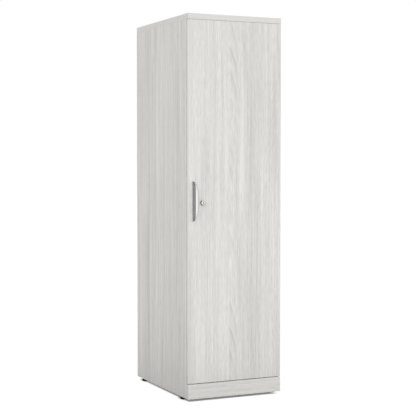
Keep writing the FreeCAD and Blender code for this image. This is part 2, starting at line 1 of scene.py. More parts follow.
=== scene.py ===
"""Looks of a tall single-door wardrobe cabinet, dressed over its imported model."""

import logging
import math
from dataclasses import dataclass
from enum import Enum
from functools import reduce
from typing import Callable, Optional, Union

import bpy
from mathutils import Matrix, Vector


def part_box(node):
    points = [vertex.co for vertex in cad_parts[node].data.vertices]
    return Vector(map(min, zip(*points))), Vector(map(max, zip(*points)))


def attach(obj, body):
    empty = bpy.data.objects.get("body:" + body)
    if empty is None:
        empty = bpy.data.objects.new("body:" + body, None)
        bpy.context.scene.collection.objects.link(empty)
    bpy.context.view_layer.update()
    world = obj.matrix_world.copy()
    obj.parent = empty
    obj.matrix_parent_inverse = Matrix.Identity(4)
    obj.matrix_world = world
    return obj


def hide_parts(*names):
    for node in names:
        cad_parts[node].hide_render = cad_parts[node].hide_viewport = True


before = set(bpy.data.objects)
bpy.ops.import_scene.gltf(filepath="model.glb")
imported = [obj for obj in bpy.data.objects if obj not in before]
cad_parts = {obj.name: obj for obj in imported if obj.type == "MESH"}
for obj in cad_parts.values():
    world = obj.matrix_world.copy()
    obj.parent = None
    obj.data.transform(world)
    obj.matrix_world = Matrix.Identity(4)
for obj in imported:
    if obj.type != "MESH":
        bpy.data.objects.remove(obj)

LOG = logging.getLogger("wardrobe")
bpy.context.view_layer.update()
NODES: dict[str, bpy.types.Object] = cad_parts

# Points closer than this, in metres, are one point, and a cut keeps this close to its plane.
SAME_POINT = 1e-6
POINT_DIGITS = 6
CUT_SLACK = 1e-7
# Screws whose lengths differ by less than this, in metres, are alike.
SAME_LENGTH = 1e-5
# A face whose normal has this much of an axis looks straight or mostly along that axis.
SQUARE = 0.9
MOSTLY = 0.5
# Numbers of the Mix node's colour sockets.
MIX_COLOURS = (6, 7)
MIX_RESULT = 2
# How strongly printed film and edging bend light.
FILM_IOR = 1.48

Colour = tuple[float, float, float]
Offset = tuple[float, float, float]
Span = tuple[float, float]
Rates = Union[float, tuple[float, float, float]]
Operand = Union[float, tuple, "Signal", bpy.types.NodeSocket]
Paint = Union[Colour, bpy.types.NodeSocket]

X_AXIS = Vector((1.0, 0.0, 0.0))
Y_AXIS = Vector((0.0, 1.0, 0.0))
Z_AXIS = Vector((0.0, 0.0, 1.0))


class Grain(Enum):
    """The direction in which a board's wood grain runs."""

    UPRIGHT = "upright"
    ACROSS = "across"


class Head(Enum):
    """The shape of a screw's head."""

    COUNTERSUNK = "countersunk"
    PAN = "pan"


class Signal:
    """A number in a shader tree; Python's operators on it add Math nodes."""

    def __init__(self, coat: "Coat", socket: bpy.types.NodeSocket) -> None:
        """Wrap one socket of a coat's tree.

        Args:
            coat: The coat that owns the tree.
            socket: The output socket that holds the number.
        """
        self.coat = coat
        self.socket = socket

    def math(self, operation: str, *operands: Operand) -> "Signal":
        """Add one Math node.

        Args:
            operation: The Math node's operation.
            *operands: Its operands in order, signals or numbers.

        Returns:
            The node's result.
        """
        node = self.coat.node("ShaderNodeMath", {"operation": operation}, dict(enumerate(operands)))
        return Signal(self.coat, node.outputs[0])

    def __add__(self, other: Operand) -> "Signal":
        """Sum."""
        return self.math("ADD", self, other)

    def __radd__(self, other: Operand) -> "Signal":
        """Sum with a number on the left."""
        return self.math("ADD", other, self)

    def __sub__(self, other: Operand) -> "Signal":
        """Difference."""
        return self.math("SUBTRACT", self, other)

    def __rsub__(self, other: Operand) -> "Signal":
        """Difference from a number on the left."""
        return self.math("SUBTRACT", other, self)

    def __mul__(self, other: Operand) -> "Signal":
        """Product."""
        return self.math("MULTIPLY", self, other)

    def __rmul__(self, other: Operand) -> "Signal":
        """Product with a number on the left."""
        return self.math("MULTIPLY", other, self)

    def __truediv__(self, other: Operand) -> "Signal":
        """Quotient."""
        return self.math("DIVIDE", self, other)

    def __pow__(self, power: Operand) -> "Signal":
        """Power."""
        return self.math("POWER", self, power)

    def __abs__(self) -> "Signal":
        """Size without sign."""
        return self.math("ABSOLUTE", self)

    def above(self, limit: float) -> "Signal":
        """One where the number is above a limit, and zero elsewhere."""
        return self.math("GREATER_THAN", self, limit)

    def least(self, other: Operand) -> "Signal":
        """The smaller of two numbers."""
        return self.math("MINIMUM", self, other)

    def most(self, other: Operand) -> "Signal":
        """The larger of two numbers."""
        return self.math("MAXIMUM", self, other)

    def root(self) -> "Signal":
        """Square root."""
        return self.math("SQRT", self)

    def part(self) -> "Signal":
        """The part after the decimal point."""
        return self.math("FRACT", self)

    def hump(self, centre: float, half_width: float) -> "Signal":
        """A smooth bump of height one.

        Args:
            centre: Where the bump stands.
            half_width: Its half width, where it has fallen to about a third.

        Returns:
            The bump.
        """
        share = (self - centre) * (1.0 / half_width)
        return self.math("EXPONENT", share * share * -1.0)

    def ramp(self, low: float, high: float) -> "Signal":
        """A smooth step.

        Args:
            low: The number at which the step leaves zero.
            high: The number at which it reaches one.

        Returns:
            The step, from zero to one.
        """
        settings = {"interpolation_type": "SMOOTHSTEP"}
        node = self.coat.node("ShaderNodeMapRange", settings, {0: self, 1: low, 2: high})
        return Signal(self.coat, node.outputs[0])


class Coat:
    """The node tree of one material, or of the sky."""

    def __init__(self, name: str, sky: Optional[bpy.types.World] = None) -> None:
        """Start an empty tree.

        Args:
            name: The material's name.
            sky: The world to shade, in place of a new material.
        """
        self.material = sky or bpy.data.materials.new(name)
        self.material.use_nodes = True
        self.tree = self.material.node_tree
        self.tree.nodes.clear()

    def node(
        self, kind: str, settings: Optional[dict] = None, inputs: Optional[dict] = None
    ) -> bpy.types.Node:
        """Add a node.

        Args:
            kind: The node's type.
            settings: Its own settings, which are set first.
            inputs: Values or links for its sockets, by name or number.

        Returns:
            The node.
        """
        made = self.tree.nodes.new(kind)
        for name, value in (settings or {}).items():
            setattr(made, name, value)
        for name, value in (inputs or {}).items():
            if isinstance(value, Signal):
                value = value.socket
            if isinstance(value, bpy.types.NodeSocket):
                self.tree.links.new(value, made.inputs[name])
            else:
                made.inputs[name].default_value = value
        return made

    def split(self, vector: bpy.types.NodeSocket) -> list[Signal]:
        """The three parts of a vector."""
        parts = self.node("ShaderNodeSeparateXYZ", inputs={0: vector})
        return [Signal(self, socket) for socket in parts.outputs]

    def place(self) -> list[Signal]:
        """The point's x, y and z on the piece, in metres."""
        return self.split(self.node("ShaderNodeTexCoord").outputs["Object"])

    def facing(self) -> list[Signal]:
        """The x, y and z parts of the piece's own normal."""
        return self.split(self.node("ShaderNodeTexCoord").outputs["Normal"])

    def noise(
        self, x: Operand, y: Operand, z: Operand, detail: float = 2.0, roughness: float = 0.5
    ) -> Signal:
        """Smooth noise from about zero to one.

        Args:
            x: First coordinate.
            y: Second coordinate.
            z: Third coordinate.
            detail: How many finer layers it has.
            roughness: How strong the finer layers are.

        Returns:
            The noise.
        """
        point = self.node("ShaderNodeCombineXYZ", inputs={0: x, 1: y, 2: z})
        inputs = {
            "Vector": point.outputs[0], "Scale": 1.0, "Detail": detail, "Roughness": roughness
        }
        return Signal(self, self.node("ShaderNodeTexNoise", inputs=inputs).outputs[0])

    def mix(self, share: Operand, first: Paint, second: Paint) -> bpy.types.NodeSocket:
        """Go from one colour to another.

        Args:
            share: Zero for the first colour, one for the second.
            first: First colour.
            second: Second colour.

        Returns:
            The mixed colour.
        """
        settings = {"data_type": "RGBA", "clamp_factor": True}
        inputs = {0: share}
        for index, paint in zip(MIX_COLOURS, (first, second)):
            inputs[index] = (*paint, 1.0) if isinstance(paint, tuple) else paint
        return self.node("ShaderNodeMix", settings, inputs).outputs[MIX_RESULT]

    def bump(self, height: Signal, strength: float, distance: float) -> bpy.types.NodeSocket:
        """A bumpy normal.

        Args:
            height: Height of the surface, from zero to one.
            strength: How much of the bump shows.
            distance: Height of the bump in metres.

        Returns:
            The normal.
        """
        inputs = {"Strength": strength, "Distance": distance, "Height": height}
        return self.node("ShaderNodeBump", inputs=inputs).outputs[0]

    def surface(self, inputs: dict) -> bpy.types.Material:
        """End the tree in a shader.

        Args:
            inputs: Values or links for the shader's sockets.

        Returns:
            The finished material.
        """
        shader = self.node("ShaderNodeBsdfPrincipled", inputs=inputs)
        self.node("ShaderNodeOutputMaterial", inputs={0: shader.outputs[0]})
        return self.material


@dataclass(frozen=True)
class Stretch:
    """A length along the grain over which a mark shows; sizes in metres."""

    middle: float
    half_length: float


@dataclass(frozen=True)
class Streak:
    """One long pale or dark streak in a board's grain; sizes in metres."""

    centre: float
    half_width: float
    lift: float
    stretches: tuple[Stretch, ...] = ()


@dataclass(frozen=True)
class Flame:
    """Pointed arches of growth rings, stacked along the grain; sizes in metres."""

    centre: float
    shift: float = 0.0
    reach: float = 0.040
    spacing: float = 0.070
    lean: float = 3.0
    bend: float = 1200.0
    drift: float = 0.020
    depth: float = 0.34
    left: float = 1.0
    right: float = 1.0
    stretches: tuple[Stretch, ...] = ()
    sharpness: float = 2.5
    crest: float = 0.86
    ridge: float = 0.003


@dataclass(frozen=True)
class Layer:
    """One layer of streaks in a board's grain, by their number in a metre."""

    across: float
    along: float
    seed: float
    detail: float = 1.0
    roughness: float = 0.5


SWAY = Layer(6.0, 1.2, 0.0)
QUIVER = Layer(40.0, 7.0, 2.0)
BROAD = Layer(16.0, 0.5, 11.0)
MEDIUM = Layer(70.0, 1.4, 12.0, 2.0)
FINE = Layer(290.0, 2.6, 13.0, 3.0, 0.62)
HAIR = Layer(1400.0, 26.0, 14.0, 2.0)
SMUDGE = Layer(9.0, 7.0, 16.0, 3.0)
FLECKS = Layer(260.0, 24.0, 17.0, 2.0)


@dataclass
class Lay:
    """How the grain lies on a board: a point's place across and along it, and its face's number."""

    coat: Coat
    across: Signal
    along: Signal
    face: Signal
    wander: float = 2.2
    wander_spread: float = 90.0
    patch_rates: Span = (9.0, 30.0)
    patch_seed: float = 4.0
    patch_step: Span = (0.22, 0.55)
    fading: float = 1.8
    fading_spread: float = 50.0
    fading_seed: float = 15.0
    fading_step: Span = (0.2, 0.65)

    def layer(self, kind: Layer) -> Signal:
        """One layer of streaks, centred on zero."""
        point = (self.across * kind.across, self.along * kind.along, self.face + kind.seed)
        return self.coat.noise(*point, kind.detail, kind.roughness) - 0.5

    def shown(self, mark: Union[Streak, Flame]) -> Signal:
        """Find where along the grain a mark shows.

        Args:
            mark: The streak or flame; with no stretches of its own it comes and goes.

        Returns:
            How strongly the mark shows, from zero to one.
        """
        if mark.stretches:
            humps = [self.along.hump(at.middle, at.half_length) for at in mark.stretches]
            return reduce(Signal.most, humps)
        spread, seed = mark.centre * self.fading_spread, self.face + self.fading_seed
        fading = self.coat.noise(self.along * self.fading, spread, seed, 1.0)
        return fading.ramp(*self.fading_step)

    def rings(self, flame: Flame) -> Signal:
        """Draw one stack of arches.

        Args:
            flame: The arches' sizes.

        Returns:
            How dark the ring lines are, from zero to one.
        """
        offset = self.across - flame.centre
        beside = abs(offset)
        fall = beside * flame.lean + beside**3 * flame.bend
        spread = flame.centre * self.wander_spread
        drift = self.coat.noise(self.along * self.wander, spread, self.face, 1.0) - 0.5
        depth = self.along + fall + drift * (2.0 * flame.drift)
        phase = (depth * (1.0 / flame.spacing)).part()
        line = phase**flame.sharpness * phase.ramp(1.0, flame.crest)
        legs = flame.left + offset.ramp(-flame.ridge, flame.ridge) * (flame.right - flame.left)
        along_rate, across_rate = self.patch_rates
        place = (self.along * along_rate, self.across * across_rate, self.face + self.patch_seed)
        patch = self.coat.noise(*place, 1.0).ramp(*self.patch_step)
        figure = self.across.hump(flame.centre + flame.shift, flame.reach)
        return line * legs * patch * self.shown(flame) * figure


@dataclass(frozen=True)
class Laminate:
    """Pale wood-grain laminate on one board."""

    name: str
    node: str
    grain: Grain
    seed: float
    streaks: tuple[Streak, ...] = ()
    flames: tuple[Flame, ...] = ()
    dark: Colour = (0.577, 0.570, 0.542)
    light: Colour = (0.879, 0.867, 0.832)
    broad: float = 0.45
    medium: float = 0.62
    fine: float = 1.22
    flecks: float = 0.82
    pores: float = 0.16
    pore_step: Span = (0.06, 0.24)
    sway: float = 0.014
    quiver: float = 0.0016
    face_step: float = 7.3
    rub_width: float = 0.004
    rub_lift: float = 0.06
    roughness: float = 0.44
    smudge_rough: float = 0.16
    pore_rough: float = 0.10
    fine_rise: float = 0.5
    pore_drop: float = 0.8
    relief: float = 0.22
    relief_height: float = 0.00035

    def lay(self, coat: Coat) -> Lay:
        """Lay the grain on the board.

        Args:
            coat: The coat being made.

        Returns:
            How the grain lies.
        """
        x, y, z = coat.place()
        nx, ny, nz = coat.facing()
        if self.grain is Grain.UPRIGHT:
            edgewise = abs(nx).above(MOSTLY)
            across = x * (1.0 - edgewise) + y * edgewise
            return Lay(coat, across, z, self.seed + (nx + ny).above(MOSTLY) * self.face_step)
        flat = abs(nz).above(MOSTLY)
        across = z * (1.0 - flat) + y * flat
        return Lay(coat, across, x, self.seed + (ny + nz).above(MOSTLY) * self.face_step)

    def rub(self, coat: Coat) -> Signal:
        """Find the board's handled edges.

        Args:
            coat: The coat being made.

        Returns:
            One at the board's edges, falling to zero inside them.
        """
        low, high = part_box(self.node)
        centre, half = (low + high) / 2, (high - low) / 2
        thin = min(range(3), key=lambda axis: half[axis])
        place = coat.place()
        inside = [half[axis] - abs(place[axis] - centre[axis]) for axis in range(3) if axis != thin]
        return 1.0 - reduce(Signal.least, inside).ramp(0.0, self.rub_width)

    def material(self) -> bpy.types.Material:
        """Make the finish.

        Returns:
            The material.
        """
        coat = Coat(self.name)
        lay = self.lay(coat)
        smudge = lay.layer(SMUDGE)
        lay.across = lay.across + lay.layer(SWAY) * self.sway + lay.layer(QUIVER) * self.quiver
        fine = lay.layer(FINE)
        pores = lay.layer(HAIR).ramp(*self.pore_step)
        tone = 0.5 + lay.layer(BROAD) * self.broad + lay.layer(MEDIUM) * self.medium
        tone = tone + fine * self.fine + lay.layer(FLECKS) * self.flecks - pores * self.pores
        for streak in self.streaks:
            stripe = lay.across.hump(streak.centre, streak.half_width)
            tone = tone + stripe * lay.shown(streak) * streak.lift
        for flame in self.flames:
            tone = tone - lay.rings(flame) * flame.depth
        rub = self.rub(coat)
        worn = self.roughness + rub * self.rub_lift
        height = 0.5 + fine * self.fine_rise - pores * self.pore_drop
        return coat.surface({
            "Base Color": coat.mix(tone + rub * self.rub_lift, self.dark, self.light),
            "Roughness": worn + smudge * self.smudge_rough + pores * self.pore_rough,
            "IOR": FILM_IOR,
            "Normal": coat.bump(height, self.relief, self.relief_height),
        })


@dataclass(frozen=True)
class Mark:
    """One layer of marks in a finish: their number in a metre along each axis, and what they do."""

    rates: Rates
    tone: float = 0.0
    rough: float = 0.0
    relief: float = 0.0
    step: Optional[Span] = None
    detail: float = 2.0
    roughness: float = 0.5

    def drawn(self, coat: Coat, place: list[Signal]) -> Signal:
        """Draw the layer.

        Args:
            coat: The coat being made.
            place: The point's x, y and z.

        Returns:
            Noise centred on zero, or, with a step, separate marks from zero to one.
        """
        rates = self.rates if isinstance(self.rates, tuple) else (self.rates,) * 3
        scaled = [value * rate for value, rate in zip(place, rates)]
        layer = coat.noise(*scaled, self.detail, self.roughness) - 0.5
        return layer.ramp(*self.step) if self.step else layer


@dataclass(frozen=True)
class Finish:
    """A finish between two colours, with layers of marks that change its tone, gloss and relief."""

    name: str
    dark: Colour
    light: Colour
    roughness: float
    marks: tuple[Mark, ...]
    tone: float = 0.5
    relief_height: float = 0.0001
    plain: tuple[tuple[str, float], ...] = ()

    def sockets(self, coat: Coat) -> dict[str, Operand]:
        """Lay the marks over the colours.

        Args:
            coat: The coat being made.

        Returns:
            Values or links for the shader's sockets.
        """
        place = coat.place()
        tone, rough = self.tone, self.roughness
        sockets = dict(self.plain)
        for mark in self.marks:
            layer = mark.drawn(coat, place)
            tone = tone + layer * mark.tone
            rough = rough + layer * mark.rough
            if mark.relief:
                sockets["Normal"] = coat.bump(layer, mark.relief, self.relief_height)
        sockets["Base Color"] = coat.mix(tone, self.dark, self.light)
        sockets["Roughness"] = rough
        return sockets

    def material(self) -> bpy.types.Material:
        """Make the finish.

        Returns:
            The material.
        """
        coat = Coat(self.name)
        return coat.surface(self.sockets(coat))


def printed(rates: Rates) -> tuple[Mark, ...]:
    """The printed grain and the mottling of edging."""
    grain = Mark(rates, tone=0.9, relief=0.12, detail=3.0, roughness=0.6)
    return grain, Mark(260.0, tone=0.5, rough=0.2)


def brushed(rates: Rates = 300.0, relief: float = 0.10) -> tuple[Mark, ...]:
    """Mark a plated metal.

    Args:
        rates: How many brush lines lie in a metre along each axis.
        relief: How much of them shows in relief.

    Returns:
        Brushing, smudges and scuffs.
    """
    brushing = Mark(rates, tone=0.9, rough=0.10, relief=relief, detail=3.0, roughness=0.6)
    smudges = Mark(60.0, tone=0.6, rough=0.10, detail=3.0)
    return brushing, smudges, Mark(450.0, tone=-0.25, rough=0.06, step=(0.10, 0.24))


@dataclass(frozen=True)
class EdgeBand(Finish):
    """Thin plastic edging printed to match the laminate."""

    dark: Colour = (0.565, 0.560, 0.532)
    light: Colour = (0.845, 0.837, 0.802)
    roughness: float = 0.40
    marks: tuple[Mark, ...] = printed((420.0, 420.0, 9.0))
    tone: float = 0.52
    relief_height: float = 0.0002
    plain: tuple[tuple[str, float], ...] = (("IOR", FILM_IOR),)


@dataclass(frozen=True)
class Moulding(Finish):
    """Moulded plastic or rubber with a fine spark-eroded skin, clouds and rubbed places."""

    marks: tuple[Mark, ...] = (
        Mark(2600.0, relief=0.25),
        Mark(140.0, tone=0.8, rough=0.2),
        Mark(700.0, tone=0.4, rough=0.08, step=(0.06, 0.22)),
    )
    tone: float = 0.35
    plain: tuple[tuple[str, float], ...] = (("Specular IOR Level", 0.2),)


@dataclass(frozen=True)
class Metal(Finish):
    """A plated metal, brushed along one axis or polished, and on some pieces with painted shade in
    places.
    """

    marks: tuple[Mark, ...] = brushed()
    # deep is the colour of the painted shade, and cast is how much less metallic the metal is under
    # it.
    deep: Colour = (0.10, 0.10, 0.10)
    cast: float = 0.0

    def shade(self, coat: Coat) -> Operand:
        """Find where the metal gets painted shade; on plain pieces it is nowhere.

        Args:
            coat: Not used.

        Returns:
            One where the metal gets painted shade, and zero elsewhere.
        """
        return 0.0

    def painted_shade_colour(self, coat: Coat) -> Paint:
        """The colour of the painted shade."""
        return self.deep

    def sockets(self, coat: Coat) -> dict[str, Operand]:
        """Lay the painted shade over the metal.

        Args:
            coat: The coat being made.

        Returns:
            Values or links for the shader's sockets.
        """
        sockets = super().sockets(coat)
        shade = self.shade(coat)
        # Painted shade: the colour turns to the shade colour where the mask is one.
        sockets["Base Color"] = coat.mix(shade, sockets["Base Color"], self.painted_shade_colour(coat))
        sockets["Metallic"] = 1.0 - shade * self.cast if self.cast else 1.0
        return sockets


@dataclass(frozen=True)
class CupNickel(Metal):
    """Satin nickel of the cup pull, with painted shade inside the cup, on its far flank and towards
    its ends.
    """

    node: str = "pull"
    # Painted shade lies on the base plate, the inner wall, the far flank, where the shell turns up
    # or down and towards both ends; far is a paler painted shade towards the far wall.
    plate: float = 0.0020
    plate_edge: float = 0.0002
    lip: float = 0.0030
    inner_turn: Span = (0.05, -0.10)
    turn_away: Span = (0.56, 0.80)
    tip_turn: Span = (0.06, 0.40)
    wall_turn: Span = (0.5, 0.2)
    end_fade: Span = (0.036, 0.080)
    ends: float = 0.42
    flank: float = 0.85
    inside: float = 0.45
    tip_shade: float = 0.55
    far: Colour = (0.680, 0.677, 0.667)
    near_mouth: float = 0.005
    far_mouth: float = 0.018

    def shade(self, coat: Coat) -> Operand:
        """Find where the pull gets painted shade.

        Args:
            coat: The coat being made.

        Returns:
            One on the base plate, less on the cup's inner wall, on its far flank, where its shell
            turns up or down and towards both ends, and zero elsewhere; all of it painted shade.
        """
        low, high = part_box(self.node)
        _, y, z = coat.place()
        across, _, up = coat.facing()
        front = high.y - self.plate
        plate = y.ramp(front - self.plate_edge, front + self.plate_edge)
        inner = across.ramp(*self.inner_turn) * y.ramp(low.y + self.lip / 2, low.y + self.lip)
        flank = across.ramp(*self.turn_away) * self.flank
        tip_shade = abs(up).ramp(*self.tip_turn) * self.tip_shade
        ends = abs(z - (low.z + high.z) / 2).ramp(*self.end_fade) * self.ends
        return plate.most(inner * self.inside).most(flank).most(tip_shade).most(ends)

    def painted_shade_colour(self, coat: Coat) -> Paint:
        """Make the painted shade inside the cup paler from its mouth towards its far wall.

        Args:
            coat: The coat being made.

        Returns:
            The colour of the painted shade.
        """
        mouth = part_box(self.node)[0].x
        depth = coat.place()[0].ramp(mouth + self.near_mouth, mouth + self.far_mouth)
        inward = coat.facing()[0].ramp(*self.wall_turn)
        return coat.mix(depth * inward, self.deep, self.far)


@dataclass(frozen=True)
class LockPlate(Metal):
    """Bright plate of the lock, with painted shade on its flanks, strongest to the lower left, in
    its key slot and in a ring round its plug.
    """

    node: str = "lock_plug"
    # Sizes of the painted shade ring round the plug and round the key slot, and how painted shade
    # falls on the flanks.
    ring: float = 0.0012
    ring_shade: float = 0.8
    slot_width: float = 0.0023
    slot_length: float = 0.0045
    slot_edge: float = 0.0005
    shade_side: float = -0.8
    shade_below: float = -0.6
    shade_turn: Span = (-0.35, 0.25)
    flank_turn: Span = (0.92, 0.68)
    flank_least: float = 0.3

    def shade(self, coat: Coat) -> Operand:
        """Find where the lock gets painted shade: its flanks, a ring round its plug and its key
        slot.

        Args:
            coat: The coat being made.

        Returns:
            One on the lower left flank, less on its other flanks, in the key slot and ring, and
            zero on the front; all of it painted shade.
        """
        low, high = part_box(self.node)
        centre = (low + high) / 2
        x, _, z = coat.place()
        across, up = x - centre.x, z - centre.z
        radius = (across * across + up * up).root()
        sideways, outward, upward = coat.facing()
        # Painted shade on the flanks, strongest where they face left and down.
        shaded = (sideways * self.shade_side + upward * self.shade_below).ramp(*self.shade_turn)
        flank_shading = self.flank_least + shaded * (1.0 - self.flank_least)
        flank = abs(outward).ramp(*self.flank_turn) * flank_shading
        # A painted shade ring round the plug, and painted shade in and round the key slot.
        ring = radius.hump((high.x - low.x) / 2 + self.ring / 2, self.ring) * self.ring_shade
        length = abs(up).ramp(self.slot_length + self.slot_edge, self.slot_length)
        slot = across.hump(0.0, self.slot_width) * length
        return flank.most(ring).most(slot)


# The pull: deep is the colour of its painted shade, and cast makes it less metallic there.
NICKEL = CupNickel(
    "satin_nickel", (0.710, 0.706, 0.693), (0.945, 0.940, 0.924), 0.36,
    brushed((900.0, 900.0, 24.0)), deep=(0.425, 0.423, 0.417), cast=0.85,
)
# The lock: deep is the colour of the painted shade on its flanks, round its plug and in its key
# slot.
LOCK_PLATE = LockPlate(
    "lock_plate", (0.720, 0.720, 0.718), (0.980, 0.980, 0.976), 0.24,
    brushed((500.0, 40.0, 500.0), 0.04), deep=(0.030, 0.030, 0.031),
)
CHROME = Metal(
    "polished_chrome", (0.560, 0.565, 0.570), (0.800, 0.805, 0.810), 0.12,
    brushed((40.0, 500.0, 500.0), 0.04),
)
ZINC_STEEL = Metal("zinc_plated_steel", (0.440, 0.445, 0.450), (0.690, 0.695, 0.700), 0.28)
FOOT_BLACK = Moulding("black_foot_nylon", (0.004, 0.004, 0.004), (0.016, 0.016, 0.017), 0.55)
BUMPER_GREY = Moulding("bumper_rubber", (0.30, 0.30, 0.29), (0.46, 0.46, 0.45), 0.60)
BACK_BOARD = Finish(
    "back_board_film", (0.560, 0.556, 0.530), (0.800, 0.794, 0.762), 0.58,
    (
        Mark((130.0, 20.0, 1.6), tone=0.8, detail=3.0, roughness=0.6),
        Mark((18.0, 10.0, 0.5), tone=0.6, detail=1.0),
        Mark(900.0, tone=0.3, rough=0.2, relief=0.10, detail=1.0),
    ),
    relief_height=0.0002,
)
BEECH = Finish(
    "beech_dowel", (0.330, 0.200, 0.105), (0.620, 0.440, 0.270), 0.62,
    (
        Mark((700.0, 700.0, 90.0), tone=1.0, rough=0.2, relief=0.2, detail=3.0, roughness=0.6),
        Mark((1500.0, 1500.0, 400.0), tone=-0.3, step=(0.10, 0.20), detail=1.0),
    ),
    relief_height=0.0002,
)


def clear_selection() -> None:
    """Leave edit mode with nothing selected."""
    if bpy.context.mode != "OBJECT":
        bpy.ops.object.mode_set(mode="OBJECT")
    bpy.ops.object.select_all(action="DESELECT")


def pick(obj: bpy.types.Object) -> None:
    """Make one object the only one selected, and active.

    Args:
        obj: The object.
    """
    clear_selection()
    obj.select_set(True)
    bpy.context.view_layer.objects.active = obj


def apply_place() -> None:
    """Put the selected object's place, turn and scale into its mesh."""
    bpy.ops.object.transform_apply(location=True, rotation=True, scale=True)


def looks_up(centre: Vector, normal: Vector) -> bool:
    """Whether a face looks straight up."""
    return normal.z > SQUARE


def looks_down(centre: Vector, normal: Vector) -> bool:
    """Whether a face looks straight down."""
    return normal.z < -SQUARE


class Blank:
    """A mesh on the bench, shaped by one modelling step after another."""

    def __init__(self, name: str) -> None:
        """Take up the primitive that was just added.

        Args:
            name: The piece's name.
        """
        self.obj = bpy.context.object
        self.obj.name = name
        self.obj.data.name = name

    @classmethod
    def add(cls, name: str, kind: Callable[..., set], **sizes: Union[float, Offset]) -> "Blank":
        """Add a primitive at its size and place.

        Args:
            name: The piece's name.
            kind: The operator that adds it.
            **sizes: The operator's settings.

        Returns:
            The blank.
        """
        clear_selection()
        kind(**sizes)
        apply_place()
        return cls(name)

    def faces(self, test: Callable[[Vector, Vector], bool]) -> "Blank":
        """Select faces in edit mode.

        Args:
            test: Takes a face's centre and normal, and says whether it is wanted.

        Returns:
            The blank itself.
        """
        self.nothing("FACE")
        for face in self.obj.data.polygons:
            face.select = test(face.center, face.normal)
        bpy.ops.object.mode_set(mode="EDIT")
        return self

    def edges(self, test: Callable[[Vector, Vector], bool]) -> "Blank":
        """Select edges in edit mode.

        Args:
            test: Takes an edge's two ends, and says whether it is wanted.

        Returns:
            The blank itself.
        """
        self.nothing("EDGE")
        points = self.obj.data.vertices
        for edge in self.obj.data.edges:
            edge.select = test(points[edge.vertices[0]].co, points[edge.vertices[1]].co)
        bpy.ops.object.mode_set(mode="EDIT")
        return self

    def nothing(self, kind: str) -> None:
        """Clear the mesh's own selection and leave edit mode.

        Args:
            kind: What the next selection is made of.
        """
        pick(self.obj)
        bpy.ops.object.mode_set(mode="EDIT")
        bpy.ops.mesh.select_mode(type=kind)
        bpy.ops.mesh.select_all(action="DESELECT")
        bpy.ops.object.mode_set(mode="OBJECT")

    def extrude(self, offset: Offset) -> "Blank":
        """Extrude what is selected."""
        bpy.ops.mesh.extrude_region_move(TRANSFORM_OT_translate={"value": offset})
        return self

    def resize(self, factor: float) -> "Blank":
        """Scale what is selected about the upright axis."""
        bpy.ops.transform.resize(value=(factor, factor, 1.0), center_override=(0.0, 0.0, 0.0))
        return self

    def bevel(self, width: float, steps: int) -> "Blank":
        """Bevel the selected edges."""
        bpy.ops.mesh.bevel(offset=width, segments=steps, affect="EDGES", profile=0.5)
        return self

    def cut(self, cutter: "Blank") -> "Blank":
        """Take a cutter out of the blank and throw the cutter away.

        Args:
            cutter: The shape that is cut away.

        Returns:
            The blank itself.
        """
        settings = {"operation": "DIFFERENCE", "solver": "EXACT", "object": cutter.obj}
        self.modifier("BOOLEAN", settings)
        bpy.data.objects.remove(cutter.obj)
        return self

    def modifier(self, kind: str, settings: dict) -> "Blank":
        """Add a modifier and apply it.

        Args:
            kind: The modifier's type.
            settings: Its settings.

        Returns:
            The blank itself.
        """
        pick(self.obj)
        made = self.obj.modifiers.new(kind.lower(), kind)
        for name, value in settings.items():
            setattr(made, name, value)
        bpy.ops.object.modifier_apply(modifier=made.name)
        return self

    def everything(self) -> None:
        """Select all of the mesh in edit mode."""
        pick(self.obj)
        bpy.ops.object.mode_set(mode="EDIT")
        bpy.ops.mesh.select_all(action="SELECT")

    def tidy(self, smooth_below: float = 35.0) -> "Blank":
        """Merge doubles, turn the faces outwards and smooth the round ones.

        Args:
            smooth_below: Edges flatter than this many degrees are smoothed.

        Returns:
            The blank itself.
        """
        self.everything()
        bpy.ops.mesh.remove_doubles(threshold=SAME_POINT)
        bpy.ops.mesh.normals_make_consistent(inside=False)
        bpy.ops.object.mode_set(mode="OBJECT")
        bpy.ops.object.shade_smooth_by_angle(angle=math.radians(smooth_below))
        return self

    def copy_to(self, turn: Matrix, place: Vector) -> bpy.types.Object:
        """Copy the blank to a place, in its own mesh.

        Args:
            turn: How the copy is turned.
            place: Where its origin goes.

        Returns:
            The copy, at the origin, with its place in its mesh.
        """
        pick(self.obj)
        bpy.ops.object.duplicate(linked=False)
        copy = bpy.context.object
        copy.matrix_world = Matrix.Translation(place) @ turn.to_4x4()
        apply_place()
        return copy

    def discard(self) -> None:
        """Throw the blank away once its copies are made."""
        bpy.data.objects.remove(self.obj)


def join(pieces: list[bpy.types.Object], name: str) -> bpy.types.Object:
    """Join pieces into one object.

    Args:
        pieces: The objects to join.
        name: The joined object's name.

    Returns:
        The joined object.
    """
    clear_selection()
    for piece in pieces:
        piece.select_set(True)
    bpy.context.view_layer.objects.active = pieces[0]
    if len(pieces) > 1:
        bpy.ops.object.join()
    pieces[0].name = name
    pieces[0].data.name = name
    return pieces[0]


def paint(obj: bpy.types.Object, material: bpy.types.Material) -> None:
    """Give an object one material all over."""
    obj.data.materials.clear()
    obj.data.materials.append(material)


def dress(node: str, material: bpy.types.Material) -> None:
    """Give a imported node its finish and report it.

    Args:
        node: The node's name.
        material: The finish.
    """
    for slot in NODES[node].material_slots:
        slot.material = material
    LOG.info("dressed %s in %s", node, material.name)


def place_piece(
    obj: bpy.types.Object, body: str, slot: str, material: bpy.types.Material, *nodes: str
) -> None:
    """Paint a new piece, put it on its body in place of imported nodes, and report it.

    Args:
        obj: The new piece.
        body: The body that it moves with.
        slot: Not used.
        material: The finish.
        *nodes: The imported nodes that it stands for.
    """
    paint(obj, material)
    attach(obj, body)
    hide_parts(*nodes)
    LOG.info("built %s on %s for %s", obj.name, body, ", ".join(nodes))


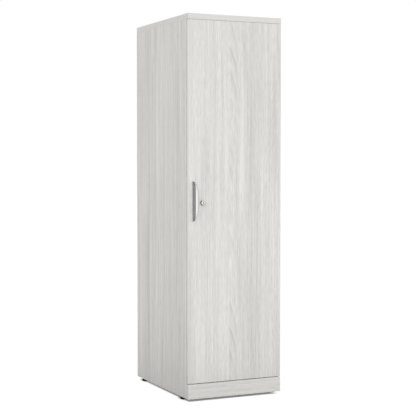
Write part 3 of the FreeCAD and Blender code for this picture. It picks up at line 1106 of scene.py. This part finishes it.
def solids_of(node: str) -> list[tuple[Vector, Vector]]:
    """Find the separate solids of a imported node.

    Args:
        node: The node's name.

    Returns:
        The lowest and highest corner of each solid.
    """
    mesh = NODES[node].data
    points = [tuple(round(part, POINT_DIGITS) for part in vertex.co) for vertex in mesh.vertices]
    parent = {point: point for point in points}

    def leader(point: tuple) -> tuple:
        """Follow a point to the one that stands for its solid.

        Args:
            point: The point.

        Returns:
            The point that stands for its solid.
        """
        while parent[point] != point:
            parent[point] = parent[parent[point]]
            point = parent[point]
        return point

    for face in mesh.polygons:
        first, *others = [points[index] for index in face.vertices]
        for other in others:
            parent[leader(other)] = leader(first)
    groups: dict[tuple, list[tuple]] = {}
    for point in points:
        groups.setdefault(leader(point), []).append(point)
    boxes = []
    for group in groups.values():
        low, high = (Vector(map(pick_end, zip(*group))) for pick_end in (min, max))
        boxes.append((low, high))
    return boxes


@dataclass(frozen=True)
class Thread:
    """An upright helical thread, closed at its ends; in metres, or in shares of the pitch."""

    crest: float
    root: float
    pitch: float
    low: float
    high: float
    flank_share: float = 0.38
    land_share: float = 0.12
    steps: int = 24
    spare_turns: int = 2

    def build(self, name: str) -> Blank:
        """Wind the thread and cut its ends.

        Args:
            name: The piece's name.

        Returns:
            The threaded blank.
        """
        start = (self.root, 0.0, self.low - self.spare_turns * self.pitch)
        blank = Blank.add(name, bpy.ops.mesh.primitive_plane_add, size=self.pitch, location=start)
        self.draw_profile(blank)
        turns = math.ceil((self.high - self.low) / self.pitch) + 2 * self.spare_turns
        blank.modifier("SCREW", {
            "axis": "Z", "angle": 2 * math.pi, "screw_offset": self.pitch, "iterations": turns,
            "steps": self.steps, "render_steps": self.steps,
            "use_merge_vertices": True, "merge_threshold": SAME_POINT,
        })
        blank.tidy()
        for height, direction in ((self.low, -1.0), (self.high, 1.0)):
            blank.everything()
            bpy.ops.mesh.bisect(
                plane_co=(0.0, 0.0, height), plane_no=(0.0, 0.0, direction),
                use_fill=True, clear_outer=True, threshold=CUT_SLACK,
            )
            bpy.ops.object.mode_set(mode="OBJECT")
        return blank.tidy()

    def draw_profile(self, blank: Blank) -> None:
        """Shrink a plane to a point and draw it out along one turn's flanks and lands.

        Args:
            blank: The plane.
        """
        bpy.ops.object.mode_set(mode="EDIT")
        bpy.ops.mesh.select_mode(type="VERT")
        bpy.ops.mesh.select_all(action="SELECT")
        bpy.ops.mesh.merge(type="CENTER")
        bpy.ops.mesh.select_all(action="SELECT")
        flank, land = self.flank_share * self.pitch, self.land_share * self.pitch
        depth = self.crest - self.root
        for out, up in ((depth, flank), (0.0, land), (-depth, flank), (0.0, land)):
            blank.extrude((out, 0.0, up))
        bpy.ops.object.mode_set(mode="OBJECT")


@dataclass(frozen=True)
class ScrewKind:
    """A kind of screw: its head, the head's height over its radius, and the shank's radius."""

    head: Head
    head_share: float
    radius: float


WOOD_SCREW = ScrewKind(Head.COUNTERSUNK, 0.59, 0.00175)
PULL_SCREW = ScrewKind(Head.PAN, 0.60, 0.0020)
CAM_SCREW = ScrewKind(Head.PAN, 0.48, 0.0019)


@dataclass
class CrossScrew:
    """A cross-recess screw, head up at the origin; sizes in metres."""

    kind: ScrewKind
    head_radius: float
    length: float
    pitch: float = 0.0011
    sides: int = 36
    rim_ease: float = 0.06
    rim_steps: int = 2
    dome: float = 0.45
    dome_steps: int = 4
    cross_reach: float = 1.16
    cross_width: float = 0.26
    cross_depth: float = 0.72
    cross_taper: float = 0.55
    root_share: float = 0.76
    head_overlap: float = 0.1
    point: float = 0.4

    def build(self) -> Blank:
        """Model one screw.

        Returns:
            The screw, with the top of its head at the origin and its point below.
        """
        radius, height = self.kind.radius, self.kind.head_share * self.head_radius
        head = Blank.add(
            "screw_head", bpy.ops.mesh.primitive_cylinder_add, vertices=self.sides,
            radius=self.head_radius, depth=height, location=(0.0, 0.0, -height / 2),
        )
        if self.kind.head is Head.COUNTERSUNK:
            head.faces(looks_down).resize(radius / self.head_radius)
            ease, steps = self.rim_ease * self.head_radius, self.rim_steps
        else:
            ease, steps = self.dome * height, self.dome_steps
        head.edges(lambda a, b: min(a.z, b.z) > -SAME_POINT).bevel(ease, steps)
        reach = self.cross_reach * self.head_radius
        width = self.cross_width * reach
        for size in ((reach, width), (width, reach)):
            cutter = Blank.add(
                "recess", bpy.ops.mesh.primitive_cube_add, size=1.0, location=(0.0, 0.0, 0.0),
                scale=(*size, 2 * self.cross_depth * height),
            )
            cutter.faces(looks_down).resize(self.cross_taper)
            head.cut(cutter)
        head.tidy()
        neck = (self.head_overlap - 1.0) * height
        thread = Thread(radius, self.root_share * radius, self.pitch, -self.length, neck)
        shank = thread.build("screw_shank")
        shank.faces(looks_down).resize(self.point)
        join([head.obj, shank.obj], "screw")
        return head


@dataclass
class ScrewGroup:
    """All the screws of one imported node."""

    node: str
    name: str
    body: str
    kind: ScrewKind
    outward: Vector
    both_sides: bool = False

    def build(self, material: bpy.types.Material) -> None:
        """Model one screw of each length and copy it to each place.

        Args:
            material: The screws' finish.
        """
        axis = max(range(3), key=lambda index: abs(self.outward[index]))
        across = (axis + 1) % 3
        patterns: dict[int, Blank] = {}
        copies = []
        for low, high in solids_of(self.node):
            outward = self.outward.copy()
            if self.both_sides and low[axis] + high[axis] > 0:
                outward = -outward
            size = high - low
            key = round(size[axis] / SAME_LENGTH)
            if key not in patterns:
                patterns[key] = CrossScrew(self.kind, size[across] / 2, size[axis]).build()
            place = (low + high) / 2
            place[axis] = high[axis] if outward[axis] > 0 else low[axis]
            turn = Z_AXIS.rotation_difference(outward).to_matrix()
            copies.append(patterns[key].copy_to(turn, place))
        for pattern in patterns.values():
            pattern.discard()
        place_piece(join(copies, self.name), self.body, "steel", material, self.node)


@dataclass
class Case:
    """The boards of the case, their edging, the back and the dowels."""

    side_streaks: tuple[Streak, ...] = (
        Streak(0.310, 0.008, -0.16, (Stretch(1.50, 0.40),)),
        Streak(0.302, 0.016, -0.18, (Stretch(0.58, 0.30),)),
        Streak(0.252, 0.028, 0.12, (Stretch(0.45, 0.50),)),
        Streak(0.205, 0.030, -0.14, (Stretch(1.45, 0.25),)),
        Streak(0.172, 0.016, -0.30, (Stretch(0.62, 0.60),)),
        Streak(0.144, 0.010, 0.20, (Stretch(0.55, 0.40),)),
        Streak(0.086, 0.012, -0.12, (Stretch(0.80, 0.30),)),
        Streak(0.060, 0.012, 0.32, (Stretch(1.16, 0.32),)),
        Streak(0.055, 0.026, 0.18, (Stretch(0.28, 0.45),)),
        Streak(-0.035, 0.050, 0.16, (Stretch(1.50, 0.22),)),
        Streak(-0.075, 0.030, 0.16, (Stretch(0.25, 0.30),)),
        Streak(-0.120, 0.022, 0.12, (Stretch(0.78, 0.22),)),
        Streak(-0.180, 0.020, -0.12, (Stretch(1.15, 0.40), Stretch(0.25, 0.20))),
        Streak(-0.212, 0.014, 0.14, (Stretch(1.35, 0.30),)),
        Streak(-0.262, 0.008, 0.24),
    )

    def finishes(self) -> list[Laminate]:
        """One laminate for each board.

        Returns:
            The laminates.
        """
        side = {"broad": 0.34, "medium": 0.82, "fine": 1.95, "flecks": 0.70}
        left, right = self.side_streaks, self.side_streaks[1:]
        return [
            Laminate("laminate_left_side", "left_side_panel", Grain.UPRIGHT, 3.0, left, **side),
            Laminate("laminate_right_side", "right_side_panel", Grain.UPRIGHT, 31.0, right, **side),
            Laminate("laminate_top", "top_panel", Grain.ACROSS, 47.0),
            Laminate("laminate_bottom", "bottom_panel", Grain.ACROSS, 59.0),
            Laminate(
                "laminate_toe_kick", "toe_kick", Grain.ACROSS, 71.0,
                (
                    # The pale streak low along the plinth is painted light and the dark one along
                    # its top is painted shade; they even out its lighting from top to bottom.
                    Streak(0.045, 0.070, 0.14, (Stretch(0.160, 0.200),)),
                    Streak(0.060, 0.020, -0.10, (Stretch(-0.060, 0.240),)),
                    Streak(0.020, 0.018, 0.16, (Stretch(-0.100, 0.280),)),
                ),
                dark=(0.605, 0.600, 0.568), light=(0.920, 0.911, 0.871), fine=1.1,
            ),
            Laminate("laminate_hat_shelf", "hat_shelf", Grain.ACROSS, 83.0),
        ]

    def dress(self) -> None:
        """Dress the case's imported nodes."""
        for laminate in self.finishes():
            dress(laminate.node, laminate.material())
        top = EdgeBand("edge_band_top", marks=printed((9.0, 9.0, 420.0)))
        dress("top_edge_band", top.material())
        dress("case_edge_bands", EdgeBand("edge_band_case").material())
        dress("back_panel", BACK_BOARD.material())
        dress("case_dowels", BEECH.material())


# Where along the door its pointed arches of growth rings stand.
CATHEDRAL = (Stretch(1.47, 0.24), Stretch(0.27, 0.22))


@dataclass
class Door:
    """The door's board, edging and bumpers."""

    streaks: tuple[Streak, ...] = (
        Streak(-0.220, 0.016, -0.17, (Stretch(1.60, 0.50), Stretch(0.30, 0.40))),
        # A pale streak beside the pull, at its height: painted light that offsets the pull's shadow
        # on the door.
        Streak(-0.216, 0.014, 0.12, (Stretch(0.876, 0.16),)),
        Streak(-0.180, 0.060, 0.11, (Stretch(0.45, 0.95),)),
        Streak(-0.180, 0.011, 0.16, (Stretch(1.55, 0.25),)),
        Streak(-0.143, 0.009, -0.14, (Stretch(1.12, 0.28),)),
        Streak(-0.119, 0.007, 0.14, (Stretch(1.30, 0.45), Stretch(0.50, 0.30))),
        Streak(-0.104, 0.014, -0.16, (Stretch(1.45, 0.28),)),
        Streak(-0.082, 0.015, 0.20, (Stretch(0.70, 0.70),)),
        Streak(-0.050, 0.012, 0.22, (Stretch(1.10, 0.16), Stretch(0.58, 0.32))),
        Streak(-0.022, 0.030, 0.12, (Stretch(1.52, 0.30),)),
        Streak(-0.022, 0.003, -0.22, (Stretch(1.45, 0.22), Stretch(0.35, 0.25))),
        Streak(
            -0.020, 0.008, 0.26,
            (
                Stretch(1.314, 0.024), Stretch(1.190, 0.036), Stretch(0.925, 0.036),
                Stretch(0.755, 0.034), Stretch(0.612, 0.034),
            ),
        ),
        Streak(0.008, 0.010, 0.12, (Stretch(0.52, 0.24),)),
        Streak(0.022, 0.010, 0.22, (Stretch(0.18, 0.16),)),
        Streak(0.030, 0.010, 0.24, (Stretch(1.05, 0.30),)),
        Streak(0.043, 0.010, -0.28, (Stretch(1.58, 0.18),)),
        Streak(0.074, 0.027, -0.21, (Stretch(1.33, 0.56), Stretch(0.30, 0.35))),
        Streak(0.104, 0.017, -0.20, (Stretch(0.92, 0.18),)),
        Streak(0.109, 0.0025, -0.34, (Stretch(0.60, 0.32),)),
        Streak(0.126, 0.016, -0.14, (Stretch(1.42, 0.32), Stretch(0.30, 0.25))),
        Streak(0.182, 0.012, 0.10, (Stretch(0.60, 0.45),)),
        Streak(0.190, 0.026, -0.24, (Stretch(1.08, 0.18),)),
        Streak(0.221, 0.014, -0.16, (Stretch(1.50, 0.45),)),
        Streak(0.216, 0.020, -0.22, (Stretch(0.16, 0.34),)),
    )
    flames: tuple[Flame, ...] = (
        Flame(-0.028, 0.016, 0.028, 0.112, 1.9, left=0.12, depth=0.62, stretches=CATHEDRAL),
        Flame(-0.028, 0.026, 0.034, 0.041, 2.4, left=0.10, depth=0.30, stretches=CATHEDRAL),
        Flame(
            -0.030, 0.010, 0.030, 0.095, 2.4, left=0.60, depth=0.30,
            stretches=(Stretch(0.98, 0.30),),
        ),
        Flame(
            0.190, 0.0, 0.036, 0.062, 4.0, depth=0.28,
            stretches=(Stretch(1.36, 0.24), Stretch(0.26, 0.18)),
        ),
        Flame(
            -0.168, 0.024, 0.026, 0.066, 4.5, left=0.3,
            stretches=(Stretch(1.10, 0.14), Stretch(0.68, 0.14)),
        ),
    )
    edging_dark: Colour = (0.640, 0.634, 0.606)
    edging_light: Colour = (0.930, 0.921, 0.886)

    def dress(self) -> None:
        """Dress the door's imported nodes."""
        laminate = Laminate(
            "laminate_door", "door_panel", Grain.UPRIGHT, 17.0, self.streaks, self.flames
        )
        dress("door_panel", laminate.material())
        edging = EdgeBand("edge_band_door", self.edging_dark, self.edging_light)
        dress("door_edge_band", edging.material())
        dress("door_bumpers", BUMPER_GREY.material())


@dataclass
class Fittings:
    """Pull, lock, hinges, shelf pins, coat rod, and every screw that holds them."""

    hinge_count: int = 4
    hinge_parts: tuple[str, ...] = ("cup", "arm", "plate")
    lock_nodes: tuple[str, ...] = ("lock_housing", "lock_plug")
    chrome_nodes: tuple[str, ...] = ("coat_rod", "rod_socket_left", "rod_socket_right")
    steel_nodes: tuple[str, ...] = (
        "lock_nut", "lock_cam", "lock_strike", "hinge_pins", "shelf_pins", "foot_inserts",
    )

    def dress(self) -> None:
        """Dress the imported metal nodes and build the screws."""
        chrome, lock, steel = CHROME.material(), LOCK_PLATE.material(), ZINC_STEEL.material()
        dress("pull", NICKEL.material())
        numbers = range(1, self.hinge_count + 1)
        hinges = [f"hinge_{part}_{number}" for number in numbers for part in self.hinge_parts]
        groups = ((self.lock_nodes, lock), (self.chrome_nodes, chrome), (self.steel_nodes, steel))
        for nodes, material in (*groups, (hinges, steel)):
            for node in nodes:
                dress(node, material)
        for group in self.screws():
            group.build(steel)

    def screws(self) -> list[ScrewGroup]:
        """The groups of screws.

        Returns:
            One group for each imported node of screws.
        """
        inward, leftward = Y_AXIS, -X_AXIS
        return [
            ScrewGroup("hinge_screws", "hinge_plate_screws", "carcass", WOOD_SCREW, leftward),
            ScrewGroup("hinge_cup_screws", "hinge_cup_wood_screws", "door", WOOD_SCREW, inward),
            ScrewGroup(
                "rod_socket_screws", "socket_wood_screws", "carcass", WOOD_SCREW, X_AXIS, True
            ),
            ScrewGroup("lock_strike_screws", "strike_wood_screws", "carcass", WOOD_SCREW, X_AXIS),
            ScrewGroup("pull_screws", "pull_machine_screws", "door", PULL_SCREW, inward),
            ScrewGroup("lock_cam_screw", "cam_machine_screw", "lock_cylinder", CAM_SCREW, inward),
        ]


@dataclass
class Feet:
    """The four levelling feet."""

    corners: tuple[str, ...] = ("front_left", "front_right", "back_left", "back_right")
    flutes: int = 24
    flute_sides: int = 4
    flute_share: float = 0.5
    flute_depth: float = 0.0004
    rim_share: float = 0.8
    neck_share: float = 0.79
    hub_share: float = 0.2
    dish_inset: float = 0.12
    dish_depth: float = 0.15
    pad_smoothing: float = 25.0
    thread_pitch: float = 0.0010
    root_share: float = 0.8

    def pad(self, radius: float, height: float) -> Blank:
        """Model one fluted pad on the floor at the origin.

        Args:
            radius: The pad's radius.
            height: Its height.

        Returns:
            The pad.
        """
        rim = height * self.rim_share
        pad = Blank.add(
            "pad", bpy.ops.mesh.primitive_cylinder_add, vertices=self.flute_sides * self.flutes,
            radius=radius, depth=rim, location=(0.0, 0.0, rim / 2),
        )

        def in_flute(centre: Vector, normal: Vector) -> bool:
            """Whether a face lies in a flute."""
            step = math.atan2(centre.y, centre.x) / (2 * math.pi) * self.flutes
            return abs(normal.z) < MOSTLY and step % 1.0 < self.flute_share

        pad.faces(in_flute)
        bpy.ops.mesh.extrude_region_shrink_fatten(
            TRANSFORM_OT_shrink_fatten={"value": -self.flute_depth}
        )
        hub = self.hub_share * radius
        pad.faces(lambda centre, normal: looks_up(centre, normal) and centre.xy.length < hub)
        pad.extrude((0.0, 0.0, height - rim)).resize(self.neck_share)
        pad.faces(lambda centre, normal: looks_down(centre, normal) and centre.xy.length < hub)
        bpy.ops.mesh.inset(thickness=self.dish_inset * radius, depth=-self.dish_depth * rim)
        return pad.tidy(self.pad_smoothing)

    def build(self) -> None:
        """Model one pad and one stem and copy them to the four corners."""
        black, steel = FOOT_BLACK.material(), ZINC_STEEL.material()
        low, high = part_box(f"foot_pad_{self.corners[0]}")
        pad = self.pad((high.x - low.x) / 2, high.z - low.z)
        stem_low, stem_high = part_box(f"foot_stem_{self.corners[0]}")
        radius = (stem_high.x - stem_low.x) / 2
        root = self.root_share * radius
        stem = Thread(radius, root, self.thread_pitch, stem_low.z, stem_high.z).build("stem")
        kit = ((pad, "pad", "foot_black", black), (stem, "stem", "steel", steel))
        for corner in self.corners:
            low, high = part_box(f"foot_pad_{corner}")
            place = Vector(((low.x + high.x) / 2, (low.y + high.y) / 2, 0.0))
            for blank, part, slot, material in kit:
                copy = blank.copy_to(Matrix.Identity(3), place)
                copy.name = f"levelling_{part}_{corner}"
                place_piece(copy, f"foot_{corner}", slot, material, f"foot_{part}_{corner}")
        pad.discard()
        stem.discard()


@dataclass
class Studio:
    """Floor, light and camera."""

    camera_place: Offset = (-2.2124, -4.7806, 1.0536)
    camera_pitch: float = 2.3421
    camera_turn: float = 24.8441
    lens: float = 97.79
    sensor: float = 36.0
    floor_size: float = 60.0
    sky: float = 0.95
    key_place: Offset = (0.65, -6.2, 1.3)
    key_target: Offset = (0.0, -0.29, 1.0)
    key_size: float = 1.7
    key_power: float = 60.0
    floor_near: float = 0.18
    floor_far: float = 0.64
    front_reach: float = 0.26
    side_reach: float = 0.86
    # Seen floor: floor_open with floor_glow where it lies open, floor_white with floor_gloom in the
    # painted shadow below the cabinet and round the feet.
    floor_white: float = 0.80
    floor_open: float = 0.10
    floor_glow: float = 0.94
    floor_gloom: float = 0.14
    shade_edge: float = 0.006
    shade_soft: float = 0.016
    shade_fade: float = 0.036
    shade_end: float = 0.004
    foot_shadow_reach: float = 0.006
    foot_shadow_stretch: float = 2.8
    floor_grain: float = 40.0
    floor_roughness: Span = (0.9, 1.0)

    def seen(self, coat: Coat) -> Signal:
        """Find the rays that show the background.

        Args:
            coat: The coat being made.

        Returns:
            One for camera, glossy and transmission rays, and zero for those that only light.
        """
        path = coat.node("ShaderNodeLightPath")
        kinds = ("Is Camera Ray", "Is Glossy Ray", "Is Transmission Ray")
        camera, glossy, through = (Signal(coat, path.outputs[kind]) for kind in kinds)
        return camera.most(glossy).most(through)

    def floor_material(self) -> bpy.types.Material:
        """Make the floor, glowing white where it lies open; below the cabinet and round the feet
        its glow drops, a painted shadow over the floor's real shade.

        Returns:
            The material.
        """
        coat = Coat("studio_floor")
        place = coat.place()
        x, y, _ = place
        seen = self.seen(coat)
        # clear is zero in the painted shadow below the cabinet and round the feet, and one on the
        # open floor.
        clear = self.outside(x, y) * self.foot_shadow(x, y)
        white = self.floor_white + clear * (self.floor_open - self.floor_white)
        glow = self.floor_gloom + clear * (self.floor_glow - self.floor_gloom)
        bounce = self.bounce(x, y)
        smooth, rough = self.floor_roughness
        grain = coat.noise(*(value * self.floor_grain for value in place))
        return coat.surface({
            "Base Color": bounce + seen * (white - bounce),
            "Roughness": smooth + grain * (rough - smooth),
            "Specular IOR Level": 0.0,
            "Emission Color": glow * seen,
            "Emission Strength": 1.0,
        })

    def bounce(self, x: Signal, y: Signal) -> Signal:
        """Find how pale the floor is for the light that it throws back at the cabinet.

        Args:
            x: Distance along the width.
            y: Distance along the depth.

        Returns:
            The floor's paleness, which grows away from the cabinet.
        """
        low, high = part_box("top_edge_band")
        centre, half = (low + high) / 2, (high - low) / 2
        beside, before = abs(x - centre.x) - half.x, abs(y - centre.y) - half.y
        lit = beside.ramp(0.0, self.side_reach).most(before.ramp(0.0, self.front_reach))
        return self.floor_near + lit * (self.floor_far - self.floor_near)

    def outside(self, x: Signal, y: Signal) -> Signal:
        """Find the floor that lies outside the painted shadow below the cabinet's footprint.

        Args:
            x: Distance along the width.
            y: Distance along the depth.

        Returns:
            Zero below the cabinet, rising to one at its edges.
        """
        low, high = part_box("top_edge_band")
        soft, edge = -self.shade_edge - self.shade_soft, -self.shade_edge
        left = (low.x - x).ramp(-self.shade_soft, 0.0)
        right = (x - high.x).ramp(-self.shade_fade, self.shade_end)
        return left.most(right).most((low.y - y).most(y - high.y).ramp(soft, edge))

    def foot_shadow(self, x: Signal, y: Signal) -> Signal:
        """Paint a shadow on the floor close to the feet, stretched along the depth.

        Args:
            x: Distance along the width.
            y: Distance along the depth.

        Returns:
            Zero under the feet, rising to one a little way off.
        """
        low, first_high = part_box("foot_pad_front_left")
        _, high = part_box("foot_pad_back_right")
        radius = (first_high.x - low.x) / 2
        centre, half = (low + high) / 2, (high - low) / 2
        along = abs(x - centre.x) - (half.x - radius)
        deep = (abs(y - centre.y) - (half.y - radius)) / self.foot_shadow_stretch
        return ((along * along + deep * deep).root() - radius).ramp(0.0, self.foot_shadow_reach)

    def build_floor(self) -> None:
        """Lay the floor."""
        plane, origin = bpy.ops.mesh.primitive_plane_add, (0.0, 0.0, 0.0)
        floor = Blank.add("studio_floor", plane, size=self.floor_size, location=origin).obj
        paint(floor, self.floor_material())

    def light(self) -> None:
        """Set the sky and hang the key light."""
        coat = Coat("studio_sky", bpy.data.worlds.new("studio_sky"))
        level = self.sky + self.seen(coat) * (1.0 - self.sky)
        sky = coat.node("ShaderNodeBackground", inputs={"Color": level, "Strength": 1.0})
        coat.node("ShaderNodeOutputWorld", inputs={0: sky.outputs[0]})
        bpy.context.scene.world = coat.material
        place, target = Vector(self.key_place), Vector(self.key_target)
        turn = (target - place).to_track_quat("-Z", "Y").to_euler()
        bpy.ops.object.light_add(type="AREA", location=place, rotation=turn)
        key = bpy.context.object
        key.name = "key_light"
        key.data.shape = "SQUARE"
        key.data.size = self.key_size
        key.data.energy = self.key_power

    def camera(self) -> None:
        """Stand the camera where the photograph was taken."""
        tilt = (math.radians(90.0 - self.camera_pitch), 0.0, math.radians(-self.camera_turn))
        bpy.ops.object.camera_add(location=self.camera_place, rotation=tilt)
        camera = bpy.context.object
        camera.data.sensor_width = self.sensor
        camera.data.lens = self.lens
        bpy.context.scene.camera = camera
        bpy.context.scene.view_settings.view_transform = "Standard"


def main() -> None:
    """Build and dress the wardrobe, then set the studio."""
    logging.basicConfig(level=logging.INFO, format="%(name)s: %(message)s")
    clear_selection()
    Case().dress()
    Door().dress()
    Fittings().dress()
    Feet().build()
    studio = Studio()
    studio.build_floor()
    studio.light()
    studio.camera()


if __name__ == "__main__":
    main()
